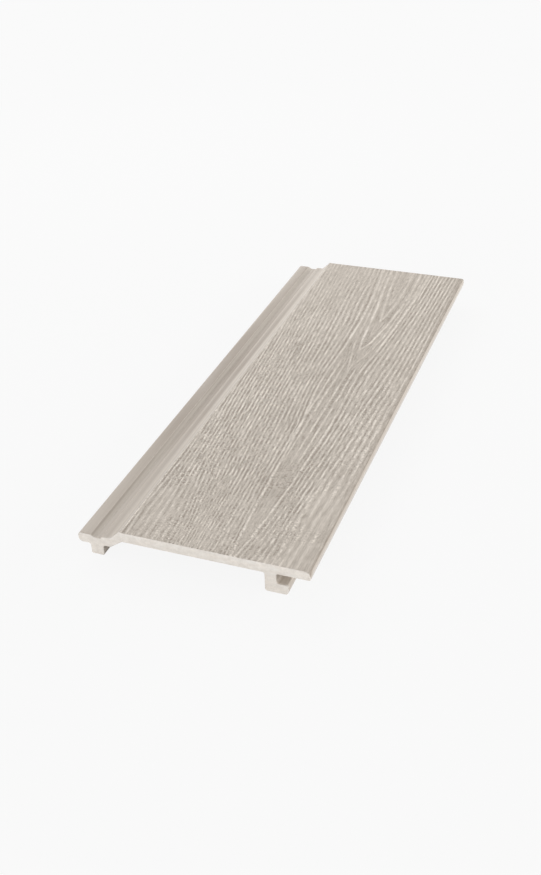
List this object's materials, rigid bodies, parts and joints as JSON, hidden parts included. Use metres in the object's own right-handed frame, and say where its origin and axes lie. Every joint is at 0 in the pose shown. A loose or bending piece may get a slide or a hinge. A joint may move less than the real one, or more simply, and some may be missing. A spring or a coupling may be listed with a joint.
{
  "type": "composite siding board",
  "caption": "Short cut length of embossed wood-plastic siding board with a tongue, screw groove and standing rib on one edge and a lapping lip over a hook groove on the other.",
  "frame": {"origin": "on the level that the rib and the foot stand on, under the middle of the board's width and length", "axes": "+X across the board from the tongue edge to the lapping lip, +Y along the board, +Z out of the embossed face"},
  "size_m": [0.156, 0.435, 0.021],
  "materials": {
    "wood_composite": "matt pale greige wood-plastic composite, face embossed with cathedral wood grain"
  },
  "bodies": {
    "root": {"siding_board": "wood_composite"}
  },
  "joints": []
}
